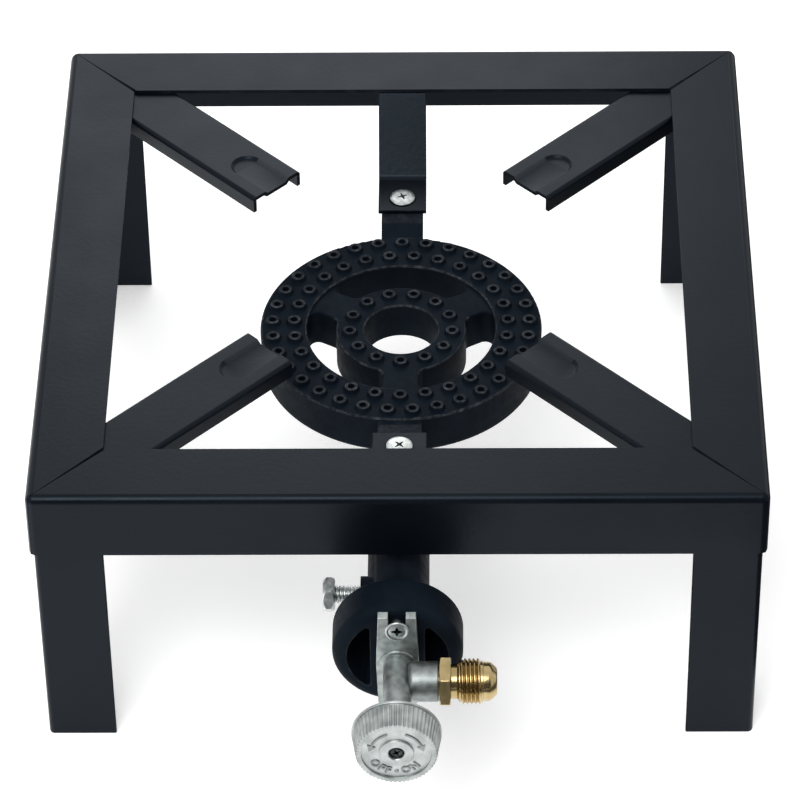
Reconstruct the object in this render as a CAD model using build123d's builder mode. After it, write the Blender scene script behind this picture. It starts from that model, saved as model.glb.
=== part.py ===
from build123d import *
import os
from math import atan2, cos, degrees, radians, sin

os.makedirs("parts", exist_ok=True)

# Gas boiling ring: a square stand of bent sheet steel carries a cast ring burner.
# A needle valve is bolted across the burner's air bell, with its gas inlet on the right.
# Millimetres. The origin is on the floor under the ring's centre, +Z is up,
# +X is right, and the valve points to -Y, which is the front.

# Stand
frame_width = 254.0
frame_height = 115.0
sheet = 1.5
flange_width = 25.5
skirt_depth = 26.2
corner_radius = 3.0
bend_radius = 2.0
mitre_gap = 0.4
leg_width = 24.0
leg_top_gap = 1.0

# Pan support arms, one on each diagonal
arm_width = 23.5
arm_depth = 6.6
arm_bend_radius = 1.6
arm_inner_end = 65.0
arm_outer_end = 152.0
groove_length = 22.0
groove_width = 12.0
groove_depth = 1.3
groove_slope = 50.0

# Straps that hang the burner in the stand
strap_thickness = 1.6
strap_width_front = 19.5
strap_width_rear = 18.0
strap_tab_end = 121.0
strap_top_bend = 102.5
strap_foot_bend = 82.0
strap_foot_end = 62.5
strap_bend_radius = 3.0
strap_screw_reach = 70.0

# Burner casting: outer ring, inner ring and three spokes
ring_top = 83.8
ring_bottom = 67.0
ring_outer_radius = 51.5
ring_inner_radius = 34.5
inner_ring_top = 82.4
inner_ring_bottom = 68.0
inner_ring_radius = 23.8
centre_hole_radius = 13.4
casting_wall = 3.0
casting_draft = 0.6
rim_round = 0.8
foot_round = 2.5
spoke_count = 3
spoke_width = 13.5
spoke_round = 3.0
front_angle = -90.0
rear_angle = 90.0

# Raised flame nipples: two rows on the outer ring, one on the inner ring
nipple_radius = 3.1
nipple_height = 1.8
nipple_taper = 26.0
port_radius = 1.3
port_depth = 4.5
outer_row_radius = 47.0
outer_row_count = 33
middle_row_radius = 39.2
middle_row_count = 27
inner_row_radius = 18.9
inner_row_count = 13

# Lugs for the strap screws
lug_width = 15.5
lug_top = 86.0
lug_bottom = 77.0
lug_step = 53.0
lug_slope = 4.0
lug_end = 78.0
lug_round = 2.0
tapped_depth = 5.0

# Mixer tube and air bell, measured forwards from the ring's axis
mixer_height = 73.0
mixer_radius = 10.75
mixer_bore_radius = 7.5
root_reach = 48.0
root_radius = 8.0
root_bore_radius = 5.2
root_rise = 2.2
root_end_reach = 70.0
bell_radius = 22.4
bell_inner_radius = 17.3
bell_floor_reach = 150.0
bell_back_reach = 145.7
bell_root_reach = 139.0
bell_throat_reach = 142.0
bell_back_round = 1.5
bell_lip_round = 4.0
mouth_round = 1.0
bridge_width = 18.8
bridge_back_reach = 152.0
bridge_hole_radius = 5.5

# Throttle bolt in a boss on the left of the mixer tube
throttle_reach = 130.2
throttle_boss_radius = 6.3
throttle_boss_end = 13.0
throttle_shank_radius = 3.15
throttle_head_flats = 11.1
throttle_head_height = 4.1
throttle_head_seat = 21.9
throttle_head_turn = -8.4
throttle_tip = 7.9

# Needle valve, on the mixer's axis
plate_front_reach = 164.3
plate_thickness = 3.2
plate_width = 14.6
plate_top_width = 12.9
plate_foot_width = 13.4
plate_top = 21.5
plate_bottom = 19.8
plate_foot_round = 1.5
slot_width = 6.0
valve_screw_height = 15.8
barrel_radius = 4.85
barrel_length = 27.0
collar_radius = 6.3
collar_height = 0.7
collar_round = 0.4
inlet_station = 8.4
inlet_boss_radius = 6.9
inlet_boss_end = 14.0
inlet_bore_radius = 4.95
inlet_bore_start = 6.5
inlet_passage_radius = 2.5
chamber_radius = 3.0
seat_radius = 0.9
seat_station = 5.0
jet_bore_radius = 2.6
jet_bore_end = 1.5
seal_bore_radius = 3.6
seal_bore_start = 20.0
running_gap = 0.05

# Spindle, seal, gland nut and knob, in stations forwards from the valve plate
needle_tip_radius = 0.3
needle_start = 4.2
needle_end = 7.5
needle_radius = 1.6
thread_start = 10.5
thread_end = 18.5
spindle_radius = 2.4
spindle_collar_radius = 3.3
seal_groove = (21.0, 22.4)
collar_stations = (20.2, 23.2)
seal_section_radius = 0.54
gland_spigot_start = 25.0
gland_hex_length = 3.5
gland_flats = 10.0
spindle_end = 39.4
knob_back = 32.4
knob_face = 42.5
knob_back_radius = 15.2
knob_face_radius = 13.7
knob_wall = 2.4
knob_web = 3.6
knob_rim_width = 1.4
knob_dish = 0.8
knob_hub_radius = 5.9
knob_hub_back = 33.5
knob_flutes = 56
knob_flute_depth = 0.5
knob_screw_seat = 40.4
knob_screw_head_radius = 2.6
knob_screw_head_height = 1.5
knob_screw_radius = 1.45
knob_screw_tip = 33.0

# Gas jet and brass inlet adaptor
jet_flats = 7.0
jet_hex_length = 3.0
jet_nozzle_radius = 2.4
jet_nozzle_length = 4.5
jet_tip_radius = 1.2
jet_tip_length = 2.0
jet_orifice_radius = 0.5
adaptor_flats = 16.2
adaptor_turn = 15.0
adaptor_hex_length = 4.0
adaptor_hex_gap = 0.2
adaptor_relief_radius = 6.0
adaptor_relief_length = 2.2
flare_thread_radius = 7.94
flare_thread_length = 8.7
flare_nose_radius = 6.7
flare_nose_length = 2.9
flare_face_radius = 4.6
flare_cone_length = 1.8
adaptor_bore_radius = 3.2

# Pan head screws
pan_round = 0.7
strap_screw_radius = 2.5
strap_screw_head_radius = 4.9
strap_screw_head_height = 3.0
strap_screw_length = 6.4
valve_screw_radius = 2.0
valve_screw_head_radius = 4.15
valve_screw_head_height = 1.0
valve_screw_length = 10.0

# Derived sizes and reference geometry
opening_width = frame_width - 2 * flange_width
flange_underside = frame_height - sheet
foot_top = lug_top + strap_thickness
groove_wall = sheet / cos(radians(groove_slope))
bell_lip_reach = plate_front_reach - plate_thickness
diagonals = {"rear_right": 45, "rear_left": 135, "front_left": 225, "front_right": 315}
mixer_axis = Axis((0, 0, mixer_height), (0, -1, 0))
mixer_section = Plane(origin=(0, 0, mixer_height), x_dir=(0, -1, 0), z_dir=(-1, 0, 0))
valve_section = Plane(
    origin=(0, -plate_front_reach, mixer_height), x_dir=(0, -1, 0), z_dir=(-1, 0, 0)
)
inlet_reach = plate_front_reach + inlet_station
inlet_section = Plane(origin=(0, -inlet_reach, mixer_height), x_dir=(1, 0, 0), z_dir=(0, -1, 0))
inlet_axis = Axis((0, -inlet_reach, mixer_height), (1, 0, 0))


def save(piece, name):
    """Name a finished piece and write it to its own file."""
    piece.part.label = name
    export_step(piece.part, f"parts/{name}.step")


def across_mixer(reach, rise=0.0):
    """Plane across the mixer's axis, facing forwards."""
    return Plane(origin=(0, -reach, mixer_height + rise), x_dir=(1, 0, 0), z_dir=(0, -1, 0))


def across_valve(station, rise=0.0):
    """Plane across the valve, at a station forwards from the front of its plate."""
    return across_mixer(plate_front_reach + station, rise)


def across_inlet(distance):
    """Plane across the inlet, at a distance to the right of the valve's axis."""
    return Plane(origin=(distance, -inlet_reach, mixer_height), x_dir=(0, 1, 0), z_dir=(1, 0, 0))


def sheet_section(points, radius, thickness, side):
    """Closed edges of a bent sheet, one skin of which follows the points."""
    with BuildLine() as section:
        FilletPolyline(*points, radius=radius)
        offset(amount=thickness, side=side)
    return section.edges()


def pan_screw(radius, length, head_radius, head_height):
    """Pan head screw, its head standing on the XY plane and its shank below it."""
    with BuildPart() as screw:
        with BuildSketch():
            Circle(head_radius)
        extrude(amount=head_height)
        fillet(screw.faces().sort_by(Axis.Z)[-1].edges(), pan_round * head_height)
        with BuildSketch():
            Circle(radius)
        extrude(amount=-length)
    return screw.part


# Stand: one folded angle goes round the square, and mitres part it into four rails
with BuildPart() as angle_ring:
    with BuildSketch(Plane.XY.offset(frame_height - skirt_depth)):
        RectangleRounded(frame_width, frame_width, corner_radius)
    extrude(amount=skirt_depth)
    fillet(angle_ring.faces().sort_by(Axis.Z)[-1].edges(), bend_radius)
    offset(amount=-sheet, openings=angle_ring.faces().sort_by(Axis.Z)[0])
    with BuildSketch(Plane.XY.offset(frame_height)):
        Rectangle(opening_width, opening_width)
    extrude(amount=-skirt_depth, mode=Mode.SUBTRACT)

for name, facing in {"right": 0, "rear": 90, "left": 180, "front": 270}.items():
    with BuildPart() as rail:
        add(angle_ring.part)
        for side in (-45, 45):
            angle = radians(facing + side)
            normal = Vector(cos(angle), sin(angle), 0)
            split(bisect_by=Plane(normal * mitre_gap / 2, z_dir=normal), keep=Keep.TOP)
    save(rail, f"{name}_rail")

# Legs: angles that stand inside the skirt's corners
leg_outer = frame_width / 2 - sheet
leg_inner = leg_outer - leg_width
for name, diagonal in diagonals.items():
    with BuildPart() as leg:
        with BuildSketch(Plane.XY.rotated((0, 0, diagonal - 45))):
            corner_points = [(leg_outer, leg_inner), (leg_outer, leg_outer), (leg_inner, leg_outer)]
            make_face(sheet_section(corner_points, bend_radius, sheet, Side.LEFT))
        extrude(amount=flange_underside - leg_top_gap)
    save(leg, f"leg_{name}")

# Pan supports: channels under the corners, with a pressed groove at the inner end
for name, diagonal in diagonals.items():
    outwards = Vector(cos(radians(diagonal)), sin(radians(diagonal)), 0)
    inner_end = outwards * arm_inner_end + Vector(0, 0, flange_underside)
    sideways = Vector(-outwards.Y, outwards.X, 0)
    end_plane = Plane(inner_end, x_dir=sideways, z_dir=outwards)
    top_plane = Plane(inner_end, x_dir=outwards, z_dir=(0, 0, 1))
    half = arm_width / 2
    with BuildPart() as arm:
        with BuildSketch(end_plane):
            channel = [(-half, -arm_depth), (-half, 0), (half, 0), (half, -arm_depth)]
            make_face(sheet_section(channel, arm_bend_radius, sheet, Side.RIGHT))
        extrude(amount=arm_outer_end - arm_inner_end)
        with BuildSketch(top_plane):
            SlotOverall(2 * groove_length + 2 * groove_wall, groove_width + 2 * groove_wall)
        extrude(amount=-groove_depth - sheet, taper=groove_slope)
        with BuildSketch(top_plane):
            SlotOverall(2 * groove_length, groove_width)
        extrude(amount=-groove_depth, taper=groove_slope, mode=Mode.SUBTRACT)
        split(bisect_by=end_plane, keep=Keep.TOP)
    save(arm, f"arm_{name}")

# Straps: each hangs from its rail and ends in a foot on a lug of the burner
for name, facing, width in (("front", -1, strap_width_front), ("rear", 1, strap_width_rear)):
    with BuildPart() as strap:
        with BuildSketch(Plane.YZ):
            skin_points = [
                (facing * strap_tab_end, flange_underside),
                (facing * strap_top_bend, flange_underside),
                (facing * strap_foot_bend, foot_top),
                (facing * strap_foot_end, foot_top),
            ]
            below = Side.RIGHT if facing < 0 else Side.LEFT
            make_face(sheet_section(skin_points, strap_bend_radius, strap_thickness, below))
        extrude(amount=width / 2, both=True)
        with Locations((0, facing * strap_screw_reach, foot_top)):
            Hole(strap_screw_radius + 2 * running_gap, depth=strap_thickness)
    save(strap, f"{name}_strap")

# Burner casting
with BuildPart() as burner:
    # Inner ring and spokes: one web, one spoke in line with the mixer tube
    with BuildSketch(Plane.XY.offset(inner_ring_bottom)) as web_outline:
        Circle(ring_inner_radius + casting_wall)
        Circle(ring_inner_radius, mode=Mode.SUBTRACT)
        Circle(inner_ring_radius)
        with PolarLocations(ring_inner_radius / 2, spoke_count, start_angle=front_angle):
            Rectangle(ring_inner_radius + casting_wall, spoke_width)
        Circle(centre_hole_radius, mode=Mode.SUBTRACT)
        spoke_corners = web_outline.vertices().filter_by(lambda corner: abs(corner.Y) > spoke_round)
        fillet(spoke_corners, spoke_round)
    extrude(amount=inner_ring_top - inner_ring_bottom)
    fillet(burner.faces().sort_by(Axis.Z)[-1].edges(), rim_round)
    # Outer ring
    with BuildSketch(Plane.XZ) as outer_ring_section:
        Polygon(
            (ring_inner_radius, ring_top),
            (ring_outer_radius, ring_top),
            (ring_outer_radius - casting_draft, ring_bottom),
            (ring_inner_radius + casting_draft, ring_bottom),
        )
        fillet(outer_ring_section.vertices().group_by(Axis.Y)[0], foot_round)
        fillet(outer_ring_section.vertices().group_by(Axis.Y)[-1], rim_round)
    revolve(axis=Axis.Z)
    # Lugs for the straps, front and rear
    for facing in (-1, 1):
        with BuildSketch(Plane.YZ):
            Polygon(
                (facing * (ring_outer_radius - casting_wall), lug_bottom),
                (facing * lug_end, lug_bottom),
                (facing * lug_end, lug_top),
                (facing * (lug_step + lug_slope), lug_top),
                (facing * lug_step, ring_top - rim_round),
                (facing * (ring_outer_radius - casting_wall), ring_top - rim_round),
            )
        extrude(amount=lug_width / 2, both=True)
    upright_edges = burner.edges().filter_by(Axis.Z)
    lug_corners = upright_edges.filter_by(lambda edge: abs(edge.center().Y) > lug_end - lug_round)
    fillet(lug_corners, lug_round)
    # Mixer tube: a swelling root out of the ring, then a plain tube to the bell
    with BuildSketch(across_mixer(root_reach, root_rise)):
        Circle(root_radius)
    with BuildSketch(across_mixer(root_end_reach)):
        Circle(mixer_radius)
    loft()
    with BuildSketch(mixer_section) as tube_section:
        Polygon(
            (root_end_reach, 0),
            (root_end_reach, mixer_radius),
            (bell_root_reach, mixer_radius),
            (bell_back_reach, bell_radius),
            (bell_lip_reach, bell_radius),
            (bell_lip_reach, 0),
        )
        fillet(tube_section.vertices().group_by(Axis.Y)[-1].sort_by(Axis.X)[0], bell_back_round)
        fillet(tube_section.vertices().group_by(Axis.Y)[-1].sort_by(Axis.X)[-1], bell_lip_round)
    revolve(axis=mixer_axis)
    # Throttle boss
    with BuildSketch(Plane(origin=(0, -throttle_reach, mixer_height), z_dir=(-1, 0, 0))):
        Circle(throttle_boss_radius)
    extrude(amount=throttle_boss_end)
    # Mixer bore, throat and the bell's room behind its bridge
    with BuildSketch(mixer_section):
        Polygon(
            (root_end_reach, 0),
            (root_end_reach, mixer_bore_radius),
            (bell_throat_reach, mixer_bore_radius),
            (bell_floor_reach, bell_inner_radius),
            (bridge_back_reach, bell_inner_radius),
            (bridge_back_reach, 0),
        )
    revolve(axis=mixer_axis, mode=Mode.SUBTRACT)
    with BuildSketch(across_mixer(root_reach - casting_wall, root_rise)):
        Circle(root_bore_radius)
    with BuildSketch(across_mixer(root_end_reach)):
        Circle(mixer_bore_radius)
    loft(mode=Mode.SUBTRACT)
    # Two air mouths, which leave a bridge across the bell to carry the valve
    with BuildSketch(across_mixer(bridge_back_reach)) as mouths:
        Circle(bell_inner_radius)
        Rectangle(bridge_width, 2 * bell_inner_radius, mode=Mode.SUBTRACT)
        fillet(mouths.vertices(), mouth_round)
    extrude(amount=bell_lip_reach - bridge_back_reach, mode=Mode.SUBTRACT)
    # Hollow core: channels in both rings, joined through the spokes
    with BuildSketch(Plane.XZ) as channel_section:
        Polygon(
            (ring_inner_radius + casting_wall, ring_bottom + casting_wall),
            (ring_inner_radius + casting_wall, ring_top - casting_wall),
            (ring_outer_radius - casting_wall, ring_top - casting_wall),
            (ring_outer_radius - casting_wall, ring_bottom + casting_wall),
        )
        fillet(channel_section.vertices(), foot_round)
    revolve(axis=Axis.Z, mode=Mode.SUBTRACT)
    with BuildSketch(Plane.XZ):
        Polygon(
            (centre_hole_radius + casting_wall, inner_ring_bottom + casting_wall),
            (centre_hole_radius + casting_wall, inner_ring_top - casting_wall),
            (inner_ring_radius - casting_wall, inner_ring_top - casting_wall),
            (inner_ring_radius - casting_wall, inner_ring_bottom + casting_wall),
        )
    revolve(axis=Axis.Z, mode=Mode.SUBTRACT)
    passage_start = inner_ring_radius - 2 * casting_wall
    passage_end = ring_inner_radius + 2 * casting_wall
    with BuildSketch(Plane.XY.offset(inner_ring_bottom + casting_wall)):
        with PolarLocations((passage_start + passage_end) / 2, spoke_count, start_angle=front_angle):
            Rectangle(passage_end - passage_start, spoke_width - 2 * casting_wall)
    extrude(amount=inner_ring_top - inner_ring_bottom - 2 * casting_wall, mode=Mode.SUBTRACT)
    # Nipples and their drilled ports
    nipple_rows = (
        (ring_top, outer_row_radius, outer_row_count, rear_angle),
        (ring_top, middle_row_radius, middle_row_count, front_angle),
        (inner_ring_top, inner_row_radius, inner_row_count, front_angle),
    )
    for height, radius, count, start in nipple_rows:
        with BuildSketch(Plane.XY.offset(height)):
            with PolarLocations(radius, count, start_angle=start):
                Circle(nipple_radius)
        extrude(amount=nipple_height, taper=nipple_taper)
        with BuildSketch(Plane.XY.offset(height + nipple_height)):
            with PolarLocations(radius, count, start_angle=start):
                Circle(port_radius)
        extrude(amount=-nipple_height - port_depth, mode=Mode.SUBTRACT)
    # Tapped holes for the screws and the throttle bolt, and the jet's hole through the bridge
    for facing in (-1, 1):
        with Locations((0, facing * strap_screw_reach, lug_top)):
            Hole(strap_screw_radius + running_gap, depth=tapped_depth)
    with BuildSketch(across_mixer(bridge_back_reach)):
        Circle(bridge_hole_radius)
        with Locations((0, valve_screw_height)):
            Circle(valve_screw_radius + running_gap)
    extrude(amount=plate_front_reach - bridge_back_reach, mode=Mode.SUBTRACT)
    with BuildSketch(Plane(origin=(0, -throttle_reach, mixer_height), z_dir=(-1, 0, 0))):
        Circle(throttle_shank_radius + running_gap)
    extrude(amount=throttle_boss_end, mode=Mode.SUBTRACT)
save(burner, "burner")

# Screws through the strap feet, one at the front and one at the rear
with BuildPart() as strap_screws:
    with Locations(*[(0, facing * strap_screw_reach, foot_top) for facing in (-1, 1)]):
        add(
            pan_screw(
                strap_screw_radius,
                strap_screw_length,
                strap_screw_head_radius,
                strap_screw_head_height,
            )
        )
save(strap_screws, "strap_screws")

# Throttle bolt, seen with its head clear of the boss
throttle_seat = (-throttle_head_seat, -throttle_reach, mixer_height)
throttle_plane = Plane(origin=throttle_seat, x_dir=(0, 1, 0), z_dir=(-1, 0, 0))
with BuildPart() as throttle_bolt:
    with BuildSketch(throttle_plane):
        RegularPolygon(throttle_head_flats / 2, 6, major_radius=False, rotation=throttle_head_turn)
    extrude(amount=throttle_head_height)
    with BuildSketch(throttle_plane):
        Circle(throttle_shank_radius)
    extrude(amount=throttle_tip - throttle_head_seat)
save(throttle_bolt, "throttle_bolt")

# Valve body: a forked plate, a barrel forwards out of a collar, and an inlet boss to the right
with BuildPart() as valve_body:
    with BuildSketch(across_valve(-plate_thickness)) as plate_outline:
        Polygon(
            (-plate_top_width / 2, plate_top),
            (plate_top_width / 2, plate_top),
            (plate_width / 2, 0),
            (plate_foot_width / 2, -plate_bottom),
            (-plate_foot_width / 2, -plate_bottom),
            (-plate_width / 2, 0),
        )
        fillet(plate_outline.vertices().group_by(Axis.Y)[0], plate_foot_round)
        with Locations((0, valve_screw_height + plate_top / 2)):
            Rectangle(slot_width, plate_top, mode=Mode.SUBTRACT)
        with Locations((0, valve_screw_height)):
            Circle(slot_width / 2, mode=Mode.SUBTRACT)
    extrude(amount=plate_thickness)
    with BuildSketch(across_valve(0)):
        Circle(collar_radius)
    extrude(amount=collar_height)
    fillet(valve_body.faces().sort_by(Axis.Y)[0].edges(), collar_round)
    with BuildSketch(across_valve(0)):
        Circle(barrel_radius)
    extrude(amount=barrel_length)
    with BuildSketch(across_inlet(0)):
        Circle(inlet_boss_radius)
    extrude(amount=inlet_boss_end)
    with BuildSketch(valve_section):
        Polygon(
            (-plate_thickness, 0),
            (-plate_thickness, jet_bore_radius),
            (jet_bore_end, jet_bore_radius),
            (jet_bore_end, seat_radius),
            (seat_station, seat_radius),
            (seat_station, chamber_radius),
            (seal_bore_start, chamber_radius),
            (seal_bore_start, seal_bore_radius),
            (barrel_length, seal_bore_radius),
            (barrel_length, 0),
        )
    revolve(axis=mixer_axis, mode=Mode.SUBTRACT)
    with BuildSketch(inlet_section):
        Polygon(
            (0, 0),
            (0, inlet_passage_radius),
            (inlet_bore_start, inlet_passage_radius),
            (inlet_bore_start, inlet_bore_radius),
            (inlet_boss_end, inlet_bore_radius),
            (inlet_boss_end, 0),
        )
    revolve(axis=inlet_axis, mode=Mode.SUBTRACT)
save(valve_body, "valve_body")

# Screw that clamps the valve's fork to the bridge
with BuildPart() as valve_screw:
    with Locations(across_valve(0, valve_screw_height)):
        add(
            pan_screw(
                valve_screw_radius,
                valve_screw_length,
                valve_screw_head_radius,
                valve_screw_head_height,
            )
        )
save(valve_screw, "valve_screw")

# Gas jet, screwed into the back of the valve and aimed down the mixer
jet_base = -plate_thickness
jet_shoulder = jet_base - jet_hex_length
jet_nozzle_end = jet_shoulder - jet_nozzle_length
with BuildPart() as gas_jet:
    with BuildSketch(valve_section):
        Polygon(
            (jet_bore_end - running_gap, 0),
            (jet_bore_end - running_gap, jet_bore_radius - running_gap),
            (jet_base, jet_bore_radius - running_gap),
            (jet_shoulder, jet_bore_radius - running_gap),
            (jet_shoulder, jet_nozzle_radius),
            (jet_nozzle_end, jet_nozzle_radius),
            (jet_nozzle_end - jet_tip_length, jet_tip_radius),
            (jet_nozzle_end - jet_tip_length, 0),
        )
    revolve(axis=mixer_axis)
    with BuildSketch(across_valve(jet_shoulder)):
        RegularPolygon(jet_flats / 2, 6, major_radius=False)
    extrude(amount=jet_hex_length)
    with BuildSketch(across_valve(jet_nozzle_end - jet_tip_length)):
        Circle(jet_orifice_radius)
    extrude(amount=jet_bore_end - jet_nozzle_end + jet_tip_length, mode=Mode.SUBTRACT)
save(gas_jet, "gas_jet")

# Brass inlet adaptor with a flare thread for the hose nut
hex_start = inlet_boss_end + adaptor_hex_gap
hex_end = hex_start + adaptor_hex_length
thread_begin = hex_end + adaptor_relief_length
thread_finish = thread_begin + flare_thread_length
nose_end = thread_finish + flare_nose_length
with BuildPart() as inlet_adaptor:
    with BuildSketch(inlet_section):
        Polygon(
            (inlet_bore_start + running_gap, adaptor_bore_radius),
            (inlet_bore_start + running_gap, inlet_bore_radius - running_gap),
            (hex_end, inlet_bore_radius - running_gap),
            (hex_end, adaptor_relief_radius),
            (thread_begin, adaptor_relief_radius),
            (thread_begin, flare_thread_radius),
            (thread_finish, flare_thread_radius),
            (thread_finish, flare_nose_radius),
            (nose_end, flare_nose_radius),
            (nose_end + flare_cone_length, flare_face_radius),
            (nose_end + flare_cone_length, adaptor_bore_radius),
        )
    revolve(axis=inlet_axis)
    with BuildSketch(across_inlet(hex_start)):
        RegularPolygon(adaptor_flats / 2, 6, major_radius=False, rotation=adaptor_turn)
        Circle(adaptor_bore_radius, mode=Mode.SUBTRACT)
    extrude(amount=adaptor_hex_length)
save(inlet_adaptor, "inlet_adaptor")

# Spindle: needle, screw thread, collars either side of the seal, and the knob's shaft
with BuildPart() as valve_spindle:
    with BuildSketch(valve_section):
        Polygon(
            (needle_start, 0),
            (needle_start, needle_tip_radius),
            (needle_end, needle_radius),
            (thread_start, needle_radius),
            (thread_start, chamber_radius - running_gap),
            (thread_end, chamber_radius - running_gap),
            (thread_end, spindle_radius),
            (collar_stations[0], spindle_radius),
            (collar_stations[0], spindle_collar_radius),
            (seal_groove[0], spindle_collar_radius),
            (seal_groove[0], spindle_radius),
            (seal_groove[1], spindle_radius),
            (seal_groove[1], spindle_collar_radius),
            (collar_stations[1], spindle_collar_radius),
            (collar_stations[1], spindle_radius),
            (spindle_end, spindle_radius),
            (spindle_end, 0),
        )
    revolve(axis=mixer_axis)
    with BuildSketch(across_valve(spindle_end)):
        Circle(knob_screw_radius + running_gap)
    extrude(amount=knob_screw_tip - spindle_end, mode=Mode.SUBTRACT)
save(valve_spindle, "valve_spindle")

# Seal ring in the spindle's groove
seal_middle_radius = (spindle_radius + seal_bore_radius) / 2
seal_station = (seal_groove[0] + seal_groove[1]) / 2
with BuildPart() as spindle_seal:
    with BuildSketch(valve_section):
        with Locations((seal_station, seal_middle_radius)):
            Circle(seal_section_radius)
    revolve(axis=mixer_axis)
save(spindle_seal, "spindle_seal")

# Gland nut that keeps the spindle in the barrel
with BuildPart() as gland_nut:
    with BuildSketch(across_valve(gland_spigot_start)):
        Circle(seal_bore_radius - running_gap)
    extrude(amount=barrel_length - gland_spigot_start)
    with BuildSketch(across_valve(barrel_length)):
        RegularPolygon(gland_flats / 2, 6, major_radius=False)
    extrude(amount=gland_hex_length)
    with BuildSketch(across_valve(gland_spigot_start)):
        Circle(spindle_radius + running_gap)
    extrude(amount=barrel_length + gland_hex_length - gland_spigot_start, mode=Mode.SUBTRACT)
save(gland_nut, "gland_nut")

# Knob: a fluted tapering cup with a dished face and a hub on the spindle
knob_depth = knob_face - knob_back
knob_taper = degrees(atan2(knob_back_radius - knob_face_radius, knob_depth))
flute_points = []
for step in range(2 * knob_flutes):
    angle = radians(180 / knob_flutes * step)
    radius = knob_back_radius - knob_flute_depth * (step % 2)
    flute_points.append((radius * cos(angle), radius * sin(angle)))
with BuildPart() as knob:
    with BuildSketch(across_valve(knob_back)):
        Polygon(*flute_points)
    extrude(amount=knob_depth, taper=knob_taper)
    cup_radius = knob_face_radius - knob_flute_depth - knob_wall
    with BuildSketch(valve_section):
        Polygon(
            (knob_back, 0),
            (knob_back, cup_radius),
            (knob_face - knob_web, cup_radius),
            (knob_face - knob_web, knob_hub_radius),
            (knob_hub_back, knob_hub_radius),
            (knob_hub_back, 0),
        )
    revolve(axis=mixer_axis, mode=Mode.SUBTRACT)
    dish_radius = knob_face_radius - knob_flute_depth - knob_rim_width
    with BuildSketch(valve_section):
        Polygon(
            (knob_face, knob_hub_radius),
            (knob_face - knob_dish, knob_hub_radius),
            (knob_face - knob_dish, dish_radius),
            (knob_face, dish_radius),
        )
    revolve(axis=mixer_axis, mode=Mode.SUBTRACT)
    with BuildSketch(valve_section):
        Polygon(
            (knob_hub_back, 0),
            (knob_hub_back, spindle_radius + running_gap),
            (spindle_end + running_gap, spindle_radius + running_gap),
            (spindle_end + running_gap, knob_screw_radius + running_gap),
            (knob_screw_seat, knob_screw_radius + running_gap),
            (knob_screw_seat, knob_screw_head_radius + 2 * running_gap),
            (knob_face, knob_screw_head_radius + 2 * running_gap),
            (knob_face, 0),
        )
    revolve(axis=mixer_axis, mode=Mode.SUBTRACT)
save(knob, "knob")

# Screw that holds the knob on the spindle
knob_screw_length = knob_screw_seat - knob_screw_tip - running_gap
with BuildPart() as knob_screw:
    with Locations(across_valve(knob_screw_seat)):
        add(
            pan_screw(
                knob_screw_radius,
                knob_screw_length,
                knob_screw_head_radius,
                knob_screw_head_height,
            )
        )
save(knob_screw, "knob_screw")
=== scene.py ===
# %% [markdown]
# # Gas boiling ring
# A square stand of folded sheet steel carries a cast iron ring burner, a needle valve and a knob.
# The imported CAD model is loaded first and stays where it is. Everything below dresses it: folded
# sheets get soft painted edges, bought parts get threads and recesses, and each finish is a node
# material. Blender's lengths are metres. New shapes are drawn in millimetres and scaled once, and
# copies of CAD solids are worked on in metres.

# %% Load the fixed frame
from math import cos, pi, radians, sin, sqrt, tan

import bmesh
import bpy
from mathutils import Matrix, Vector


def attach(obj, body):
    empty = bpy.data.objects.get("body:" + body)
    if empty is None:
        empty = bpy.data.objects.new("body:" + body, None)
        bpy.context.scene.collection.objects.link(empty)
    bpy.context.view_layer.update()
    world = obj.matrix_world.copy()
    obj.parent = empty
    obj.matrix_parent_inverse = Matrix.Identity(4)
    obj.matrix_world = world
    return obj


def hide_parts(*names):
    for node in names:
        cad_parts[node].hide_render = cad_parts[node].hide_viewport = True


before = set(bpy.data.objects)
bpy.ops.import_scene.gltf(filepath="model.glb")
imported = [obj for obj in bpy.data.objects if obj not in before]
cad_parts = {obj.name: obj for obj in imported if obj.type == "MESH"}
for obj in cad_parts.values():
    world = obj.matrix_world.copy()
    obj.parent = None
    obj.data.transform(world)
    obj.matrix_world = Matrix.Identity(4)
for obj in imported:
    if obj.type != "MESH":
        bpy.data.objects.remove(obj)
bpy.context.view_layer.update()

# %% [markdown]
# ## Camera
# The view is from the front, about 41 degrees above the floor, with a long lens from 1.64 m away.
# A long lens keeps the square stand almost parallel. The camera's axes are built from an azimuth,
# an elevation and a small roll, which is easier to adjust than Euler angles.

# %% Place the camera
view_azimuth = radians(1.05)
view_elevation = radians(41.34)
view_roll = radians(-0.87)
view_distance = 1.6432
view_target = Vector((-0.0008, 0.0, 0.0478))
lens_length = 199.2

backward = Vector((
    sin(view_azimuth) * cos(view_elevation),
    -cos(view_azimuth) * cos(view_elevation),
    sin(view_elevation),
))
level_right = Vector((cos(view_azimuth), sin(view_azimuth), 0))
level_up = backward.cross(level_right)
camera_right = cos(view_roll) * level_right + sin(view_roll) * level_up
camera_up = cos(view_roll) * level_up - sin(view_roll) * level_right
camera_axes = Matrix((camera_right, camera_up, backward)).transposed().to_4x4()

camera_data = bpy.data.cameras.new("camera")
camera_data.lens = lens_length
camera_data.sensor_width = 36
camera_data.clip_end = 20
camera = bpy.data.objects.new("camera", camera_data)
camera.matrix_world = Matrix.Translation(view_target + backward * view_distance) @ camera_axes
bpy.context.scene.collection.objects.link(camera)
bpy.context.scene.camera = camera
print("camera stands at", tuple(round(value, 3) for value in camera.location))

# %% [markdown]
# ## Building blocks for finishes
# Every finish starts from a Principled shader fed by textures in Object coordinates. The finished
# pieces sit at the origin, so one pattern runs over the whole object at its true scale. Small helpers
# make a noise, turn a value into a colour or a number, and turn a height into a bump.

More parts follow.
